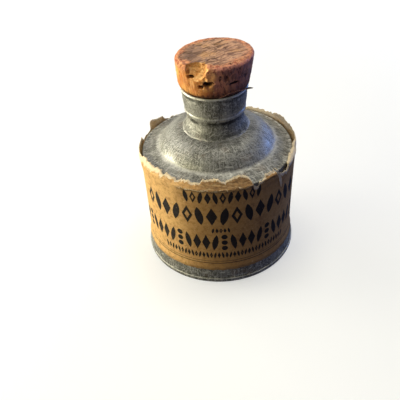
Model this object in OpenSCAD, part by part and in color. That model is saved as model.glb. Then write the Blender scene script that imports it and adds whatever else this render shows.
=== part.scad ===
// Corked lubricant tin: a small soldered tinplate can with a domed top, a
// tapered neck and a cork, wrapped in a paper label that is torn at its top.
// Millimetres. The axis is +Z, the foot stands on z = 0, the label's front
// faces -Y.

/* [Can body] */
// Outside diameter of the side wall
body_d = 55; // [54.4:0.1:55.6]
// Height of the top rim above the table
rim_h = 42.4; // [38:0.2:50]
// Thickness of the tinplate
plate_t = 0.35; // [0.3:0.01:0.38]
// Height at which the side wall starts to flare towards the foot
flare_h = 9.6; // [8.4:0.2:12]
// Width of the lap in the side wall's seam
seam_lap = 4; // [3:0.5:6]

/* [Foot] */
// Outside diameter of the rolled foot
foot_d = 57.6; // [57.2:0.1:58.4]
// Height of the rolled foot's outer edge
foot_roll_h = 1.7; // [1.5:0.05:2]
// Depth of the dished underside
dish_h = 2.3; // [2:0.1:3]

/* [Domed top] */
// Diameter of the crease where the dome rises from the flange
crease_d = 42; // [40:0.5:44]
// Rise of the flange from the rim to the crease
flange_rise = 2.6; // [1.8:0.1:3.2]
// Rise of the dome from the crease to the neck
dome_rise = 6.9; // [6:0.1:9]
// Bulge of the dome beyond a straight cone
dome_bulge = 1.3; // [0.8:0.1:1.8]
// Depth of the skirt that goes down inside the side wall
skirt_h = 3.4; // [2.5:0.1:5]

/* [Neck] */
// Diameter of the neck's foot on the dome
neck_foot_d = 22.8; // [22.2:0.1:23.8]
// Outside diameter of the groove under the collar
groove_d = 20.2; // [19.8:0.1:20.6]
// Height of the groove above the neck's foot
groove_h = 5.3; // [4.6:0.1:6]
// Outside diameter of the collar just under its lip
collar_d = 22.7; // [22.3:0.1:23.3]
// Height of the collar, from its lower bead to its lip
collar_h = 9.6; // [8.4:0.1:12]
// Thickness of the rolled lip
lip_t = 0.9; // [0.8:0.05:1]

/* [Cork] */
// Diameter across the cork's top
cork_d = 26.8; // [25.5:0.1:28]
// Height of the cork above the lip
cork_out = 12.5; // [8:0.5:14]
// Depth of the chip broken from the cork's front left
chip_depth = 4.2; // [3:0.1:5]
// Place of that chip, in degrees from the front
chip_at = -25; // [-40:5:0]
// Gap between the cork and the neck
cork_gap = 0.05; // [0.02:0.01:0.1]

/* [Label] */
// Thickness of the paper
paper_t = 0.2; // [0.14:0.02:0.24]
// Height of the label's lower edge
label_z = 5.9; // [4.5:0.1:7]
// Overlap of the label's ends at the back, in degrees
label_lap = 16; // [10:1:24]

/* [Hidden] */
$fn = 128;

TINPLATE = "#8e8f8d";
SOLDER = "#b9bbbb";
PAPER = "#c39650";
CORK = "#a2622f";

fit = 0.02; // gap left between two parts that lie on each other

body_r = body_d / 2;
foot_r = foot_d / 2;
// Inside the rolled foot the wall ends between the roll and the solder
wall_foot_r = foot_r - plate_t - fit;
wall_foot_z = foot_roll_h + 0.5;
dish_r = foot_r - 1.5;

skirt_r = body_r - plate_t - fit;
corner = 0.5; // bend radius at the top's outer edge
bend_end = 66; // where that bend meets the flange, in degrees
crease = [crease_d / 2, rim_h + flange_rise];
neck_foot = [neck_foot_d / 2, crease.y + dome_rise];
groove = [groove_d / 2, neck_foot.y + groove_h];

bead = [0.36, 0.85]; // half width and half height of the collar's lower bead
bead_at = groove + [fit + bead.x, 2];
collar_foot = bead_at + [0.1, 0.3]; // where the collar's wall leaves the bead
lip_z = bead_at.y - bead.y + collar_h;
lip_at = [collar_d / 2, lip_z - lip_t / 2];
stub_top = bead_at.y + 0.4;

cork_foot_z = stub_top + 0.25;
cork_top_z = lip_z + cork_out;

label_r = body_r + fit + paper_t;

// The label's torn top, in strips between two angles from the front, in
// degrees, positive to the right: the radius that a strip reaches where it is
// folded in over the flange (0 if it isn't), and how far it stands above the
// rim if it isn't
TOP_EDGE = [
    [-134, -117, 0, 1.6], [-101, -82, 0, 1.4], [-76, -58, 25.4, 0],
    [-58, -38, 24.8, 0], [-38, -14, 25.3, 0], [-13, 5, 23.8, 0],
    [5, 24, 23.6, 0], [30, 46, 26, 0], [79, 128, 0, 2.6], [129, 156, 0, 1.2]
];

function unit(v) = v / norm(v);
function left(v) = [-v.y, v.x];
function heading(p, i) =
    let (k = max(0, min(i, len(p) - 2)))
    unit(p[k + 1] - p[k]);

// Left-hand normal at point i of a path, lengthened for the bend there
function mitre(p, i) =
    let (a = left(heading(p, i - 1)), b = left(heading(p, i)))
    (a + b) / (1 + a * b);

// Outline of a sheet of thickness t that lies on the left of a path
function sheet(p, t) = concat(
    p,
    [for (i = [len(p) - 1:-1:0]) p[i] + t * mitre(p, i)]
);

function arc(c, r, from, to, n = 8) = [
    for (i = [0:n])
        let (a = from + (to - from) * i / n)
        c + r * [cos(a), sin(a)]
];

// Arc from p to q that stands b to the right of the straight line
function bow(p, q, b, n = 12) =
    let (
        half = norm(q - p) / 2,
        r = (half * half + b * b) / (2 * abs(b)),
        out = -left(unit(q - p)) * sign(b),
        c = (p + q) / 2 - out * (r - abs(b)),
        a = asin(half / r),
        mid = atan2(out.y, out.x)
    )
    [
        for (i = [0:n])
            let (w = mid - sign(b) * a * (1 - 2 * i / n))
            c + r * [cos(w), sin(w)]
    ];

// Outside radius of the side wall at height z, with the flare to the foot
function wall_r(z) =
    let (u = min(1, max(0, (z - wall_foot_z) / (flare_h - wall_foot_z))))
    wall_foot_r + (body_r - wall_foot_r) * (1 - cos(180 * u)) / 2;

// Outside path of the side wall between two heights
function wall_path(from, to, n = 14) = concat(
    [for (i = [0:n]) let (z = from + (flare_h - from) * i / n) [wall_r(z), z]],
    [[body_r, to]]
);

// Outside paths of the domed top
bend = arc([skirt_r - corner, rim_h - 0.4], corner, 0, bend_end);
flange_edge = bend[len(bend) - 1];
dome = bow(crease, neck_foot + [0.12, 0], dome_bulge);

// Height of the flange's upper face at radius r
function flange_z(r) =
    flange_edge.y
    + (crease.y - flange_edge.y) * (flange_edge.x - r) / (flange_edge.x - crease.x);

// Inside radius of the collar's wall at height z, without its slight bulge
function collar_in(z) =
    collar_foot.x - plate_t
    + (lip_at.x - collar_foot.x) * (z - collar_foot.y) / (lip_at.y - collar_foot.y);

// Turns a section about the axis, between two angles from the front
module span(from, to) {
    rotate([0, 0, from - 90])
        rotate_extrude(angle = to - from)
            children();
}

module body_wall() {
    lap = seam_lap / body_r * 90 / PI;
    color(TINPLATE) {
        rotate_extrude()
            polygon(sheet(
                concat([[wall_foot_r, plate_t + fit]], wall_path(wall_foot_z, rim_h)),
                plate_t
            ));
        // Inner ply of the lapped side seam
        span(180 - lap, 180 + lap)
            translate([body_r - 2 * plate_t, flare_h])
                square([1.1 * plate_t, rim_h - skirt_h - 1.4 - flare_h]);
    }
}

module side_seam_solder() {
    lap = seam_lap / body_r * 90 / PI;
    color(SOLDER)
        for (edge = [180 - lap - 1.4, 180 + lap + 0.1])
            span(edge, edge + 1.3)
                translate([body_r - 2 * plate_t, flare_h])
                    square([plate_t - fit, rim_h - skirt_h - 1.4 - flare_h]);
}

module bottom_end() {
    under = concat(
        [[0, dish_h]],
        arc([dish_r - plate_t, dish_h - plate_t], plate_t, 90, 0),
        arc([dish_r + 0.4, 0.4], 0.4, 180, 270),
        arc([foot_r - 0.45, 0.45], 0.45, 270, 360),
        [[foot_r, foot_roll_h - plate_t / 2]]
    );
    color(TINPLATE)
        rotate_extrude() {
            polygon(sheet(under, plate_t));
            translate([foot_r - plate_t / 2, foot_roll_h - plate_t / 2])
                circle(d = plate_t);
        }
}

module bottom_solder() {
    in_r = dish_r + plate_t + fit;
    out_r = wall_foot_r - plate_t - fit;
    color(SOLDER)
        rotate_extrude()
            polygon([
                [in_r, plate_t + fit],
                [out_r, plate_t + fit],
                [out_r, wall_foot_z + 0.3],
                [in_r, wall_foot_z]
            ]);
}

module shoulder() {
    outside = concat(
        [[skirt_r, rim_h - skirt_h - 0.4]],
        bend,
        dome
    );
    color(TINPLATE)
        rotate_extrude()
            polygon(sheet(outside, plate_t));
}

module shoulder_solder() {
    c = [skirt_r - corner, rim_h - 0.4];
    r = corner + fit;
    foot_a = asin((0.4 + fit) / r);
    toe = skirt_r - 0.9;
    color(SOLDER)
        rotate_extrude()
            polygon(concat(
                [
                    [body_r - fit, rim_h + fit],
                    [body_r - 0.05, rim_h + 0.18],
                    [body_r - 0.3, rim_h + 0.36],
                    [body_r - 0.75, rim_h + 0.42],
                    [toe, flange_z(toe) + 2 * fit]
                ],
                arc(c, r, bend_end, foot_a, 4)
            ));
}

module neck_base() {
    outside = concat(
        [neck_foot - [0, 1]],
        bow(neck_foot + [0, 0.5], groove, -0.45),
        [[groove.x, stub_top]]
    );
    color(TINPLATE)
        rotate_extrude()
            polygon(sheet(outside, plate_t));
}

module neck_solder() {
    n = len(dome);
    color(SOLDER)
        rotate_extrude()
            polygon(concat(
                [for (i = [n - 2, n - 1]) dome[i] - fit * mitre(dome, i)],
                [
                    [neck_foot.x + fit, neck_foot.y + 0.1],
                    [neck_foot.x + fit, neck_foot.y + 0.5],
                    [neck_foot.x + 0.3, neck_foot.y + 0.35],
                    [neck_foot.x + 0.6, neck_foot.y + 0.1]
                ]
            ));
}

module neck_collar() {
    color(TINPLATE)
        rotate_extrude() {
            polygon(sheet(bow(collar_foot, lip_at, 0.25), plate_t));
            translate(bead_at)
                scale(bead)
                    circle(1, $fn = 24);
            translate(lip_at)
                circle(d = lip_t);
        }
}

// Outside path of a strip of the paper's top, folded in or left standing. The
// tear thins the paper there, and the strip starts inside the wrap.
function top_path(reach, rise) =
    let (r = label_r - 0.2 * paper_t, foot = [r, rim_h - 1])
    reach == 0 ? [foot, foot + [0, 0.5], [r + 0.1 * rise, rim_h + rise]] :
    let (toe = min(body_r - 1.6, reach))
    concat(
        [foot],
        arc([r - 0.6, rim_h + 0.05], 0.6, 0, 70),
        [
            [body_r - 0.7, rim_h + 0.45 + 1.2 * paper_t],
            [toe, flange_z(toe) + 0.06 + 1.2 * paper_t]
        ]
    );

// Outside path of the pasted paper between two heights
function wrap_path(from, to) = [for (p = wall_path(from, to)) p + [fit + paper_t, 0]];

module paper_label() {
    end = [for (p = wrap_path(label_z + 0.3, rim_h - 0.7)) p + [0.9 * paper_t, 0]];
    color(PAPER) {
        rotate_extrude()
            polygon(sheet(wrap_path(label_z, rim_h - 0.2), paper_t));
        // The end of the sheet, pasted over its start at the back
        span(180 - label_lap / 2, 180 + label_lap / 2)
            polygon(sheet(end, 1.4 * paper_t));
        for (s = TOP_EDGE)
            span(s[0] + 0.4, s[1] - 0.4)
                polygon(sheet(top_path(s[2], s[3]), 0.6 * paper_t));
    }
}

module cork() {
    foot = [collar_in(cork_foot_z) - cork_gap, cork_foot_z];
    mouth = min(lip_at.x - lip_t / 2, collar_in(lip_at.y)) - cork_gap;
    top = [cork_d / 2, cork_top_z];
    color(CORK)
        difference() {
            rotate_extrude()
                polygon([
                    [0, foot.y], [foot.x - 0.4, foot.y], [foot.x, foot.y + 0.4],
                    [mouth, lip_at.y - 0.3], [mouth, lip_z],
                    // Squeezed by the neck, it swells above the lip
                    [mouth + 1.2, lip_z + 0.85],
                    [top.x, top.y - 2.2], [top.x - 0.2, top.y - 1.2],
                    [top.x - 0.8, top.y - 0.45], [top.x - 1.8, top.y - 0.08],
                    [0, top.y]
                ]);
            // Chip broken from the top edge
            rotate([0, 0, chip_at - 90])
                translate([top.x - chip_depth + 4.4, 0, top.y + 0.4])
                    scale([4.4, 3.6, 6.2])
                        sphere(1, $fn = 30);
        }
}

body_wall();
side_seam_solder();
bottom_end();
bottom_solder();
shoulder();
shoulder_solder();
neck_base();
neck_solder();
neck_collar();
paper_label();
cork();
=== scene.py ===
import math

import bmesh
import bpy
import numpy as np
from mathutils import Matrix, Vector, noise


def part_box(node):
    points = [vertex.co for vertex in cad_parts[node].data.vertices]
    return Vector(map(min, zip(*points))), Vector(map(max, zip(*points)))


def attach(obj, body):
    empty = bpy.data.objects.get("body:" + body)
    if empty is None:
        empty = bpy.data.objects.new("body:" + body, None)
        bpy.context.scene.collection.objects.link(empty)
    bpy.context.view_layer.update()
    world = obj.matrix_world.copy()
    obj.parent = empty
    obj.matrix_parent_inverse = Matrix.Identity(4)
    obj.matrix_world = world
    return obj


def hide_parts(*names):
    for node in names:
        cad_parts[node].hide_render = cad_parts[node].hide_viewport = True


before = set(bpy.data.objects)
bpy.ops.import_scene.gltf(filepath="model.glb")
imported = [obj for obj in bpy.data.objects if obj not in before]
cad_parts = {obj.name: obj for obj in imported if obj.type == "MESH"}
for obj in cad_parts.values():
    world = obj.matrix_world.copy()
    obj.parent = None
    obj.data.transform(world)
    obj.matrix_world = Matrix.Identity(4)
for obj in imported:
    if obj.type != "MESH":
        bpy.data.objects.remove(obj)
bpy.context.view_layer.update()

MM = 0.001


def top_of(node):
    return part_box(node)[1].z / MM


def foot_of(node):
    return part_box(node)[0].z / MM


# The can, as part.scad has it. Pairs are (r, z)
PLATE = 0.35
FIT = 0.02  # between sheets
RIM_Z = top_of("body_wall")
LABEL_Z = foot_of("paper_label")
LIP_Z = top_of("neck_collar")
NECK_FOOT_Z = foot_of("neck_base") + 1
FOOT_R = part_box("bottom_end")[1].x / MM
BODY_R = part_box("shoulder")[1].x / MM + (PLATE + FIT)
WALL_FOOT_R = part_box("body_wall")[1].x / MM
WALL_FOOT_Z = 2.2
FLARE_Z = 9.6
FLANGE_EDGE = (BODY_R - 0.67, RIM_Z + 0.057)
CREASE = (21.0, RIM_Z + 2.6)
GROOVE = (10.1, NECK_FOOT_Z + 5.3)
NECK_R = 11.4
DISH = (27.3, 2.3)
CURL_Z = 1.7
# The label: its gap to the wall, its thickness, and the angle of its ends
GAP = 0.06
PAPER = 0.16
LAP = 188.0


# ---- small tools

def ease(x):
    """Smooth step of x from 0 to 1."""
    x = np.clip(x, 0.0, 1.0)
    return x * x * (3 - 2 * x)


def through(points, at):
    """Value at `at` of the line through (place, value) points."""
    places, values = zip(*points)
    return np.interp(at, places, values)


def noise_at(points, scale, seed=0.0, octaves=3):
    """Fractal noise, about -1 to 1, at each of an array of points."""
    shift = Vector((seed * 7.3, seed * 3.1, seed * 5.7))
    return np.array([
        noise.fractal(Vector(p) * scale + shift, 1.0, 2.0, octaves)
        for p in points
    ])


def unit(vectors):
    return vectors / np.maximum(np.linalg.norm(vectors, axis=-1, keepdims=True), 1e-9)


def polar(angle, r, z):
    """Points from angles in degrees from the front, positive to the right."""
    a = np.radians(angle)
    return np.stack([r * np.sin(a), -r * np.cos(a), z + 0 * a], axis=-1)


def grid_faces(rows, cols, closed):
    """Quads of a grid of points stored row by row."""
    faces = []
    for j in range(rows - 1):
        for i in range(cols if closed else cols - 1):
            k = (i + 1) % cols
            faces.append((j * cols + i, j * cols + k,
                          (j + 1) * cols + k, (j + 1) * cols + i))
    return faces


def mesh_object(name, points_mm, faces, maps=None):
    """An object from points in millimetres. maps: UV map name to (n, 2)."""
    mesh = bpy.data.meshes.new(name)
    mesh.from_pydata((np.asarray(points_mm) * MM).tolist(), [], faces)
    for map_name, values in (maps or {}).items():
        layer = mesh.uv_layers.new(name=map_name)
        loops = np.empty(len(mesh.loops), int)
        mesh.loops.foreach_get("vertex_index", loops)
        layer.data.foreach_set("uv", np.asarray(values)[loops].ravel())
    mesh.polygons.foreach_set("use_smooth", [True] * len(mesh.polygons))
    mesh.validate()
    mesh.update()
    piece = bpy.data.objects.new(name, mesh)
    bpy.context.collection.objects.link(piece)
    return piece


def tidy_mesh(piece, sharp=None):
    """Joins doubled points, turns normals out and sharpens hard edges."""
    work = bmesh.new()
    work.from_mesh(piece.data)
    bmesh.ops.remove_doubles(work, verts=work.verts, dist=1e-6)
    bmesh.ops.recalc_face_normals(work, faces=work.faces)
    work.to_mesh(piece.data)
    work.free()
    if sharp:
        piece.data.set_sharp_from_angle(angle=math.radians(sharp))


def srgb(text):
    """Linear colour from an sRGB hex string."""
    parts = [int(text[i:i + 2], 16) / 255 for i in (1, 3, 5)]
    return tuple(
        c / 12.92 if c <= 0.04045 else ((c + 0.055) / 1.055) ** 2.4
        for c in parts
    ) + (1.0,)


class Graph:
    """A material's node tree. Its lengths are in millimetres."""

    def __init__(self, name):
        self.material = bpy.data.materials.new(name)
        self.material.use_nodes = True
        self.tree = self.material.node_tree
        self.tree.nodes.clear()
        self.shader = self.node("ShaderNodeBsdfPrincipled")
        out = self.node("ShaderNodeOutputMaterial")
        self.tree.links.new(self.shader.outputs[0], out.inputs["Surface"])
        coords = self.node("ShaderNodeTexCoord").outputs["Object"]
        scaled = self.node("ShaderNodeVectorMath", {"operation": "SCALE"},
                           {0: coords, "Scale": 1 / MM})
        self.at = scaled.outputs["Vector"]
        self.x, self.y, self.z = self.split(self.at)

    def node(self, kind, settings=None, sockets=None):
        """A new node. sockets holds its inputs' values, or sockets to link."""
        made = self.tree.nodes.new(kind)
        for key, value in (settings or {}).items():
            setattr(made, key, value)
        for key, value in (sockets or {}).items():
            self.put(made.inputs[key], value)
        return made

    def put(self, socket, value):
        """Links the value if it is a socket, or else sets it."""
        if isinstance(value, bpy.types.NodeSocket):
            self.tree.links.new(value, socket)
        else:
            socket.default_value = value

    def math(self, operation, a, b=0.0, c=0.0):
        made = self.node("ShaderNodeMath", {"operation": operation}, {0: a, 1: b, 2: c})
        return made.outputs[0]

    def add(self, a, b):
        return self.math("ADD", a, b)

    def sub(self, a, b):
        return self.math("SUBTRACT", a, b)

    def mul(self, a, b):
        return self.math("MULTIPLY", a, b)

    def div(self, a, b):
        return self.math("DIVIDE", a, b)

    def abs(self, a):
        return self.math("ABSOLUTE", a)

    def root(self, a):
        return self.math("SQRT", a)

    def max(self, a, b):
        return self.math("MAXIMUM", a, b)

    def split(self, vector):
        return self.node("ShaderNodeSeparateXYZ", None, {0: vector}).outputs[:3]

    def join(self, x, y, z=0.0):
        return self.node("ShaderNodeCombineXYZ", None, {0: x, 1: y, 2: z}).outputs[0]

    def noise(self, size, vector=None, detail=3.0, rough=0.55, twist=0.0):
        """Noise from 0 to 1 with features about `size` millimetres across."""
        made = self.node("ShaderNodeTexNoise", None, {
            "Vector": self.at if vector is None else vector,
            "Scale": 1.0 / size, "Detail": detail, "Roughness": rough,
            "Distortion": twist})
        return made.outputs[0]

    def stretched(self, *axes, **settings):
        """Noise at a place given as up to three (value, feature size) axes."""
        return self.noise(1.0, self.join(*(self.div(*axis) for axis in axes)), **settings)

    def range(self, value, low, high, out_low=0.0, out_high=1.0):
        made = self.node("ShaderNodeMapRange", {"interpolation_type": "SMOOTHSTEP"}, {
            "Value": value, "From Min": low, "From Max": high,
            "To Min": out_low, "To Max": out_high})
        return made.outputs[0]

    def mix(self, share, a, b):
        """Colour a blended to b. Either may be an sRGB hex string."""
        made = self.node("ShaderNodeMix", {"data_type": "RGBA", "blend_type": "MIX"})
        for index, value in ((0, share), (6, a), (7, b)):
            self.put(made.inputs[index], srgb(value) if isinstance(value, str) else value)
        return made.outputs[2]

    def bump(self, height, depth, strength=1.0, normal=None):
        """Bump whose height 0 to 1 stands for `depth` millimetres."""
        sockets = {"Height": height, "Distance": depth * MM, "Strength": strength}
        if normal is not None:
            sockets["Normal"] = normal
        return self.node("ShaderNodeBump", None, sockets).outputs[0]

    def length(self, x, y):
        return self.root(self.add(self.mul(x, x), self.mul(y, y)))

    def window(self, value, low, rise, fall, high):
        """1 where value is between rise and fall, 0 outside low and high."""
        return self.mul(self.range(value, low, rise), self.range(value, high, fall))

    def stray(self, value, noise, amount):
        """The value, wandering with a noise by up to half the amount."""
        return self.add(value, self.mul(self.sub(noise, 0.5), amount))

    def map(self, name):
        made = self.node("ShaderNodeUVMap", {"uv_map": name})
        return self.split(made.outputs[0])

    def finish(self, **sockets):
        names = {"color": "Base Color", "metal": "Metallic", "rough": "Roughness",
                 "normal": "Normal", "specular": "Specular IOR Level"}
        for key, value in sockets.items():
            self.put(self.shader.inputs[names[key]], value)
        return self.material


# ---- camera, lights

def place_camera():
    """The photograph's view: from the front, well above, turned a little."""
    distance, height = 0.1860, 0.1662
    yaw, pitch, roll = math.radians(-2.35), math.radians(38.74), math.radians(-4.03)
    forward = Vector((math.cos(pitch) * math.sin(yaw),
                      math.cos(pitch) * math.cos(yaw), -math.sin(pitch)))
    right = Vector((math.cos(yaw), -math.sin(yaw), 0))
    up = right.cross(forward)
    x_axis = math.cos(roll) * right + math.sin(roll) * up
    y_axis = math.cos(roll) * up - math.sin(roll) * right
    data = bpy.data.cameras.new("camera")
    data.sensor_width = 36
    data.lens = 54.3
    data.clip_start = 0.01
    camera = bpy.data.objects.new("camera", data)
    bpy.context.collection.objects.link(camera)
    turn = Matrix((x_axis, y_axis, -forward)).transposed().to_4x4()
    camera.matrix_world = Matrix.Translation((0, -distance, height)) @ turn
    bpy.context.scene.camera = camera


# Name, place, size, power and colour; all aim at the can's middle
LIGHTS = [
    ("low", (-0.27, 0.03, 0.05), (0.16, 0.09), 0.95, (1.0, 0.96, 0.74)),
    ("side", (-0.42, -0.24, 0.20), (0.28, 0.24), 0.80, (1.0, 0.92, 0.42)),
    ("top", (0.045, 0.13, 0.64), (0.44, 0.40), 3.1, (1.0, 0.97, 0.82)),
    ("back", (-0.37, 0.20, 0.32), (0.38, 0.34), 0.82, (1.0, 0.97, 0.91)),
    ("cool", (0.34, 0.22, 0.07), (0.30, 0.14), 0.52, (0.14, 0.34, 1.0)),
]
# Colour and strength of the light from all round
WORLD = ((0.60, 0.64, 1.0), 0.135)


def place_lights():
    aim = Vector((0, 0, 0.045))
    for name, place, size, power, color in LIGHTS:
        data = bpy.data.lights.new(name, "AREA")
        data.shape = "RECTANGLE"
        data.size, data.size_y = size
        data.energy = power
        data.color = color
        light = bpy.data.objects.new(name, data)
        bpy.context.collection.objects.link(light)
        light.location = place
        light.rotation_euler = (aim - Vector(place)).to_track_quat("-Z", "Y").to_euler()
    world = bpy.data.worlds.new("studio")
    world.use_nodes = True
    background = world.node_tree.nodes["Background"]
    background.inputs["Color"].default_value = (*WORLD[0], 1)
    background.inputs["Strength"].default_value = WORLD[1]
    bpy.context.scene.world = world
    bpy.context.scene.view_settings.view_transform = "Standard"


def make_floor():
    """A pale floor that sweeps up into a wall all round."""
    flat, bend, wall = 1000.0, 800.0, 1500.0
    profile = [(0.0, 0.0)] + [(flat * k / 8, 0.0) for k in range(1, 9)]
    profile += [(flat + bend * math.sin(a), bend * (1 - math.cos(a)))
                for a in np.radians(np.linspace(9, 90, 10))] + [(flat + bend, wall)]
    angles = np.arange(96) * 360 / 96
    points = np.vstack([polar(angles, r, z - 0.02) for r, z in profile])
    floor = mesh_object("floor", points, grid_faces(len(profile), 96, True))
    tidy_mesh(floor)
    g = Graph("floor_paper")
    out = g.length(g.x, g.y)
    tone = g.mix(g.noise(60.0), "#b8b8b6", "#bcbcba")
    g.put(g.shader.inputs["Emission Color"], (1.0, 1.0, 1.0, 1.0))
    g.put(g.shader.inputs["Emission Strength"], g.range(out, 100.0, 600.0, 0.48, 0.92))
    floor.data.materials.append(g.finish(color=tone, rough=0.9, specular=0.1))
    floor.visible_glossy = False
    floor.visible_diffuse = False


place_camera()
place_lights()
make_floor()


# ---- metal

# Old tin is mostly oxide, so it is only partly metallic
METAL = 0.32


def tinplate(name, light, dark, rough=0.46, painted_highlight=(), painted_shade=()):
    """Dull old tinplate: cloudy, speckled and finely scratched. Its two lists of
    (height, half width, share) bands are painted highlights and painted shade."""
    g = Graph(name)
    cloud = g.noise(6.0, detail=4, rough=0.6)
    speckle = g.noise(0.5, detail=2, rough=0.75)
    tone = g.add(g.mul(cloud, 0.5), g.mul(speckle, 0.5))
    color = g.mix(g.range(tone, 0.41, 0.59), dark, light)
    flecks = g.range(g.noise(0.36, detail=1), 0.60, 0.72)
    color = g.mix(g.mul(flecks, 0.30), color, "#dedcd2")
    spots = g.range(g.noise(1.1, detail=3, twist=0.6), 0.58, 0.72)
    color = g.mix(g.mul(spots, 0.55), color, "#4a4843")
    rubbed = g.range(g.noise(3.2, detail=4, rough=0.7), 0.55, 0.72)
    color = g.mix(g.mul(rubbed, 0.35), color, "#d4d2c8")
    rusty = g.range(g.noise(5.0, detail=4, rough=0.65), 0.54, 0.68, 0.0, 0.28)
    color = g.mix(rusty, color, "#8a6d50")
    # Fine scratches along three slanting directions, bent by a wide noise
    bend = g.mul(g.sub(g.noise(14.0, detail=1), 0.5), 1.6)
    scratch = None
    for turn, length in ((0.55, 9.0), (-0.75, 7.0), (0.15, 8.0)):
        along = g.add(g.mul(g.x, math.cos(turn)), g.mul(g.y, math.sin(turn)))
        across = g.sub(g.mul(g.y, math.cos(turn)), g.mul(g.x, math.sin(turn)))
        line = g.stretched((along, length), (g.add(across, bend), 0.28), (g.z, 0.9),
                           detail=1)
        line = g.range(line, 0.61, 0.69)
        scratch = line if scratch is None else g.max(scratch, line)
    color = g.mix(g.mul(scratch, 0.55), color, "#e4e2d8")
    # Rubbing marks that run down the tin
    down = g.sub(g.length(g.x, g.y), g.z)
    round_it = g.math("ARCTAN2", g.y, g.x)
    rub = g.join(g.mul(round_it, 40.0), g.div(down, 5.0))
    rub = g.noise(1.0, rub, detail=3, rough=0.6, twist=0.3)
    color = g.mix(g.range(rub, 0.52, 0.66, 0.0, 0.38), color, "#d9d8d0")
    color = g.mix(g.range(rub, 0.46, 0.34, 0.0, 0.38), color, "#45443f")
    patchy = g.range(g.noise(4.0, detail=3), 0.36, 0.60, 0.35, 1.0)
    # Bands of painted highlight and of painted shade; the shaded bands are also rougher
    shade_mask = 0.0
    for band, tint in ((painted_highlight, "#efede4"), (painted_shade, "#2b2926")):
        for height, half, share in band:
            wavy = g.stray(g.z, g.noise(1.6), half)
            away = g.abs(g.sub(wavy, height))
            near = g.mul(g.range(away, half, half * 0.3, 0.0, share), patchy)
            color = g.mix(near, color, tint)
            if band is painted_shade:
                shade_mask = g.add(shade_mask, near)
    roughness = g.range(tone, 0.36, 0.64, rough + 0.13, rough - 0.10)
    roughness = g.add(roughness, g.mul(shade_mask, 0.45))
    height = g.add(cloud, g.sub(g.mul(speckle, 0.10), g.mul(scratch, 0.08)))
    return g.finish(color=color, metal=METAL, rough=roughness,
                    normal=g.bump(height, 0.14, 0.6))


def arc(c, r, start, end, n=10):
    """Points of an arc about c, between two angles in degrees."""
    a = np.radians(np.linspace(start, end, n + 1))
    return [(c[0] + r * math.cos(w), c[1] + r * math.sin(w)) for w in a]


def bow(p, q, b, n=24):
    """Arc from p to q whose middle stands b to the right of the chord."""
    p, q = np.array(p), np.array(q)
    half = np.linalg.norm(q - p) / 2
    along = (q - p) / (2 * half)
    right = np.array((along[1], -along[0]))
    t = np.linspace(-1, 1, n + 1)
    r = (half * half + b * b) / (2 * abs(b))
    out = math.copysign(1, b) * (np.sqrt(r * r - (t * half) ** 2) - (r - abs(b)))
    return [tuple(p + along * half * (s + 1) + right * o) for s, o in zip(t, out)]


def sheet(path, t):
    """Outline of a sheet t thick that lies on the left of a path."""
    p = np.array(path)
    heading = unit(np.diff(p, axis=0))
    left = np.stack([-heading[:, 1], heading[:, 0]], axis=1)
    a = np.vstack([left[:1], left])
    b = np.vstack([left, left[-1:]])
    mitre = (a + b) / (1 + (a * b).sum(axis=1))[:, None]
    return path + [tuple(v) for v in (p + t * mitre)[::-1]]


def dense(outline, step, closed=True):
    """The outline with points no more than step apart."""
    out = []
    ends = outline[1:] + outline[:1] if closed else outline[1:]
    for p, q in zip(outline, ends):
        n = max(1, math.ceil(math.dist(p, q) / step))
        out += [(p[0] + (q[0] - p[0]) * i / n, p[1] + (q[1] - p[1]) * i / n)
                for i in range(n)]
    return out if closed else out + [outline[-1]]


def dented(points, depth, size, seed):
    """Points pushed about by a soft noise, the same through a thin sheet."""
    radial = np.array(points)
    radial[:, 2] = 0
    length = np.maximum(np.linalg.norm(radial, axis=1), 0.01)[:, None]
    fade = ease(length / 6)
    points = points + radial / length * fade * depth * noise_at(
        points, 1 / size, seed, 2)[:, None]
    points[:, 2] += depth * 0.6 * noise_at(points, 1 / size, seed + 4, 2)
    return points


def turned(name, outlines, dents):
    """Closed outlines of (r, z) turned about the axis into one piece, with
    dents of a depth and a size."""
    step, columns, sharp = 0.8, 224, 40
    angles = np.arange(columns) * 360 / columns
    points, faces = [], []
    for outline in outlines:
        poles = outline[0][0] == 0
        rows = np.array(dense(outline, step, closed=not poles))
        first = sum(len(p) for p in points)
        ring = np.vstack([polar(angles, r, z) for r, z in rows])
        grid = grid_faces(len(rows), columns, True)
        if not poles:
            last = (len(rows) - 1) * columns
            grid += [(last + i, last + (i + 1) % columns, (i + 1) % columns, i)
                     for i in range(columns)]
        points.append(ring)
        faces += [tuple(first + v for v in f) for f in grid]
    points = np.vstack(points)
    points = dented(points, *dents, seed=len(name))
    piece = mesh_object(name, points, faces)
    tidy_mesh(piece, sharp)
    return piece


def wall_r(z):
    """Outside radius of the side wall, with its flare to the foot."""
    u = np.clip((z - WALL_FOOT_Z) / (FLARE_Z - WALL_FOOT_Z), 0, 1)
    return WALL_FOOT_R + (BODY_R - WALL_FOOT_R) * (1 - np.cos(np.pi * u)) / 2


def flange_z(r):
    """Height of the flange's upper face."""
    slope = (CREASE[1] - FLANGE_EDGE[1]) / (FLANGE_EDGE[0] - CREASE[0])
    return FLANGE_EDGE[1] + slope * (FLANGE_EDGE[0] - r)


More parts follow.
